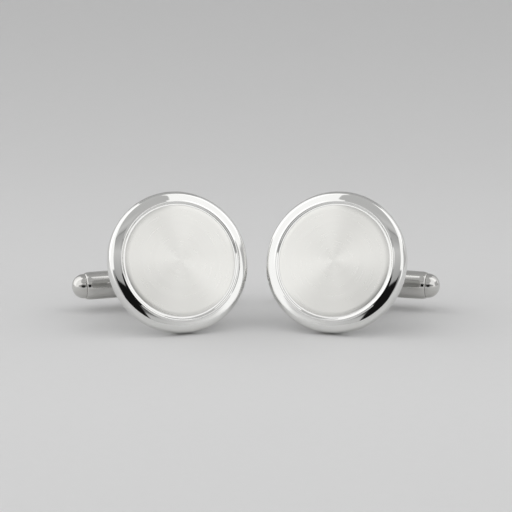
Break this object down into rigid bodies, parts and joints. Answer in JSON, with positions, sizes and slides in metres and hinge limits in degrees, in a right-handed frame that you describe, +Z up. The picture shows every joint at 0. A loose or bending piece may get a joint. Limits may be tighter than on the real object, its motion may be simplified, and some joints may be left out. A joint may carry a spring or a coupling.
{
  "type": "cufflink pair",
  "caption": "Pair of round cufflinks, each a brushed face plate in a polished sloping bezel on a U-shaped post with a swivelling bullet toggle.",
  "frame": {"origin": "middle of the pair's bounding box, on the table that both cufflinks stand on", "axes": "+X along the pair from the left cufflink to the right one as the picture shows them, +Y away from the viewer, +Z up; the faces look towards -Y and a little up"},
  "size_m": [0.0478, 0.0214, 0.017],
  "materials": {
    "brushed_face": "fine circular brushing",
    "polished_bezel": "mirror polish",
    "satin_back": "satin",
    "polished_post": "polished",
    "pin_steel": "drawn and peened",
    "spring_steel": "blued spring steel",
    "polished_toggle": "mirror polish"
  },
  "bodies": {
    "heads": {"left_face_plate": "brushed_face", "left_bezel_ring": "polished_bezel", "left_back_plate": "satin_back", "left_post_pad": "polished_post", "left_post_frame": "polished_post", "left_pivot_pin": "pin_steel", "right_face_plate": "brushed_face", "right_bezel_ring": "polished_bezel", "right_back_plate": "satin_back", "right_post_pad": "polished_post", "right_post_frame": "polished_post", "right_pivot_pin": "pin_steel"},
    "left_toggle": {"left_toggle_tube": "polished_toggle", "left_outer_cap": "polished_toggle", "left_inner_cap": "polished_toggle", "left_detent_spring": "spring_steel"},
    "right_toggle": {"right_toggle_tube": "polished_toggle", "right_outer_cap": "polished_toggle", "right_inner_cap": "polished_toggle", "right_detent_spring": "spring_steel"}
  },
  "joints": [
    {"name": "left_toggle_swivel", "type": "hinge", "parent": "heads", "child": "left_toggle", "pos_m": [-0.01383, 0.00631, 0.00325], "axis": [-0.1206, 0.3605, 0.9249], "range_deg": [-90, 90], "deforming": ["left_detent_spring"]},
    {"name": "right_toggle_swivel", "type": "hinge", "parent": "heads", "child": "right_toggle", "pos_m": [0.01376, 0.0064, 0.00325], "axis": [0.1111, 0.3635, 0.9249], "range_deg": [-90, 90], "deforming": ["right_detent_spring"]}
  ]
}
